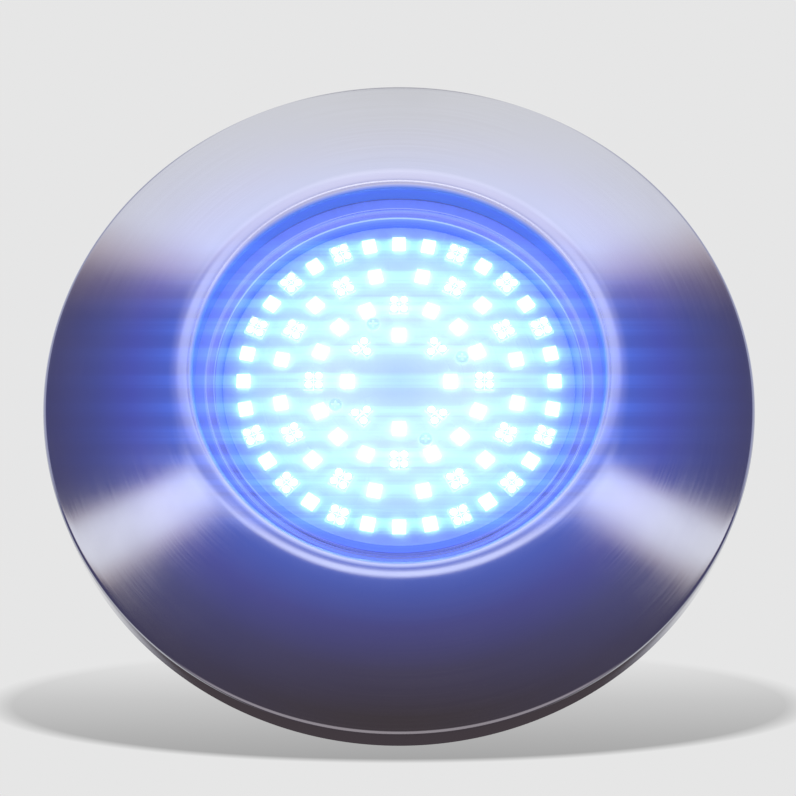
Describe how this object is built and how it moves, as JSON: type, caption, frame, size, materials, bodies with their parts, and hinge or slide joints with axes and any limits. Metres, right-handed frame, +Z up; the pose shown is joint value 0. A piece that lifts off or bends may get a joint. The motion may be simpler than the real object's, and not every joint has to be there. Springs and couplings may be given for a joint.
{
  "type": "underwater pool light",
  "caption": "Round LED light for a pool wall: clear lens in a spun steel trim that clips on, on a lamp that twists into a wall bracket, with a cable gland behind.",
  "frame": {"origin": "centre of the wall bracket's back face, where it meets the wall", "axes": "+Y into the wall along the lamp's axis, -Y the way the light shines, +Z up"},
  "size_m": [0.271, 0.1083, 0.271],
  "materials": {
    "spun_stainless": "fine spun satin",
    "bracket_stainless": "satin",
    "spring_stainless": "bright",
    "screw_stainless": "bright",
    "housing_plastic": "fine texture, moulded",
    "cover_plastic": "fine texture, moulded",
    "clear_lens": "polished",
    "bezel_plastic": "smooth white",
    "gasket_rubber": "matt",
    "silicone_pad": "soft, matt",
    "heat_sink_aluminium": "as cast",
    "white_board": "solder resist, lit blue",
    "led_package": "lit",
    "green_board": "solder resist",
    "component_black": "moulded",
    "capacitor_sleeve": "shrink sleeve",
    "terminal_plastic": "moulded",
    "nickel_brass": "nickel plated",
    "lead_insulation": "smooth",
    "gland_plastic": "moulded"
  },
  "bodies": {
    "bracket": {"wall_bracket": "bracket_stainless"},
    "lamp": {"lamp_housing": "housing_plastic", "heat_sink": "heat_sink_aluminium", "thermal_pad": "silicone_pad", "led_board": "white_board", "led_singles": "led_package", "led_quads": "led_package", "led_triples": "led_package", "led_board_screws": "screw_stainless", "board_bezel": "bezel_plastic", "lens_gasket": "gasket_rubber", "lens": "clear_lens", "lens_clamp_ring": "bracket_stainless", "clamp_ring_screws": "screw_stainless", "trim_carrier": "bracket_stainless", "carrier_screws": "screw_stainless", "trim_clips": "spring_stainless", "clip_rivets": "screw_stainless", "back_cover": "cover_plastic", "back_cover_seal": "gasket_rubber", "back_cover_screws": "screw_stainless", "driver_board": "green_board", "driver_standoffs": "nickel_brass", "driver_board_screws": "screw_stainless", "driver_inductor": "component_black", "driver_capacitors": "capacitor_sleeve", "driver_chips": "component_black", "terminal_block": "terminal_plastic", "led_leads": "lead_insulation", "gland_locknut": "nickel_brass", "gland_washer": "gasket_rubber", "gland_body": "gland_plastic", "gland_bush": "gasket_rubber"},
    "trim": {"trim_ring": "spun_stainless"},
    "gland_clamp": {"gland_thrust_ring": "gland_plastic"},
    "gland_nut": {"gland_nut": "gland_plastic"}
  },
  "joints": [
    {"name": "lamp_twist", "type": "hinge", "parent": "bracket", "child": "lamp", "pos_m": [0, 0, 0], "axis": [0, -1, 0], "range_deg": [0, 24]},
    {"name": "trim_pull", "type": "slide", "parent": "lamp", "child": "trim", "axis": [0, -1, 0], "range_m": [0, 0.06]},
    {"name": "gland_clamp_travel", "type": "slide", "parent": "lamp", "child": "gland_clamp", "axis": [0, 1, 0], "range_m": [0, 0.0031]},
    {"name": "gland_nut_turn", "type": "hinge", "parent": "gland_clamp", "child": "gland_nut", "pos_m": [0, 0.06, 0], "axis": [0, 1, 0], "range_deg": [0, 720]}
  ],
  "couplings": [
    {"joint": "gland_clamp_travel", "follows": "gland_nut_turn", "m_per_rad": 0.00023873}
  ]
}
